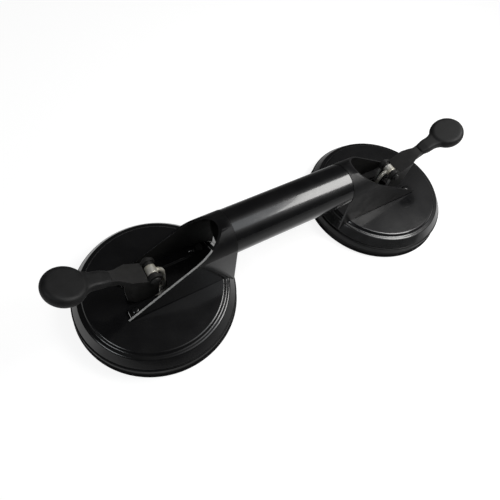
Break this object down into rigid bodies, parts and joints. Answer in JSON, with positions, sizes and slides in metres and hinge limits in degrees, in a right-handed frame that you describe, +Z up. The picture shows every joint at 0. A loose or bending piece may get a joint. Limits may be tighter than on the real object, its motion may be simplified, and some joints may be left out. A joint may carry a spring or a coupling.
{
  "type": "vacuum suction lifter",
  "caption": "Handle tube between round suction cups; at each cup a cam lever in a slant-cut saddle pulls a hook that draws up the rubber's middle to grip glass, sheet or stone.",
  "frame": {"origin": "midway between the cups, on the surface under their lips", "axes": "+X along the handle tube to the far cup, +Y across, +Z up away from the surface"},
  "size_m": [0.335, 0.118, 0.0737],
  "materials": {
    "black_paint": "gloss black enamel on steel sheet and tube",
    "lever_paint": "satin black coating on stamped steel",
    "cup_rubber": "moulded black rubber",
    "grip_vinyl": "dipped dark grey vinyl",
    "zinc": "zinc plate, faintly yellow",
    "steel": "plain steel"
  },
  "bodies": {
    "base": {"handle_tube": "black_paint", "near_plate": "black_paint", "near_saddle": "black_paint", "near_saddle_rivet_1": "steel", "near_saddle_rivet_2": "steel", "near_saddle_rivet_3": "steel", "near_saddle_rivet_4": "steel", "near_rubber_cup": "cup_rubber", "far_plate": "black_paint", "far_saddle": "black_paint", "far_saddle_rivet_1": "steel", "far_saddle_rivet_2": "steel", "far_saddle_rivet_3": "steel", "far_saddle_rivet_4": "steel", "far_rubber_cup": "cup_rubber"},
    "near_hook_set": {"near_pull_hook": "zinc", "near_insert_disc": "steel", "near_stud_nut": "zinc"},
    "far_hook_set": {"far_pull_hook": "zinc", "far_insert_disc": "steel", "far_stud_nut": "zinc"},
    "near_lever_set": {"near_lever": "lever_paint", "near_lever_grip": "grip_vinyl", "near_pivot_pin": "zinc", "near_pin_washer": "zinc"},
    "far_lever_set": {"far_lever": "lever_paint", "far_lever_grip": "grip_vinyl", "far_pivot_pin": "zinc", "far_pin_washer": "zinc"}
  },
  "joints": [
    {"name": "near_hook_lift", "type": "slide", "parent": "base", "child": "near_hook_set", "axis": [0, 0, 1], "range_m": [0, 0.0035]},
    {"name": "near_lever_press", "type": "hinge", "parent": "near_hook_set", "child": "near_lever_set", "pos_m": [-0.1042, 0, 0.042], "axis": [0, -1, 0], "range_deg": [0, 38.6]},
    {"name": "far_hook_lift", "type": "slide", "parent": "base", "child": "far_hook_set", "axis": [0, 0, 1], "range_m": [0, 0.0035]},
    {"name": "far_lever_press", "type": "hinge", "parent": "far_hook_set", "child": "far_lever_set", "pos_m": [0.1042, 0, 0.042], "axis": [0, 1, 0], "range_deg": [0, 35.1]}
  ],
  "couplings": [
    {"joint": "near_lever_press", "follows": "near_hook_lift", "rad_per_m": 191.99},
    {"joint": "far_lever_press", "follows": "far_hook_lift", "rad_per_m": 174.53}
  ]
}
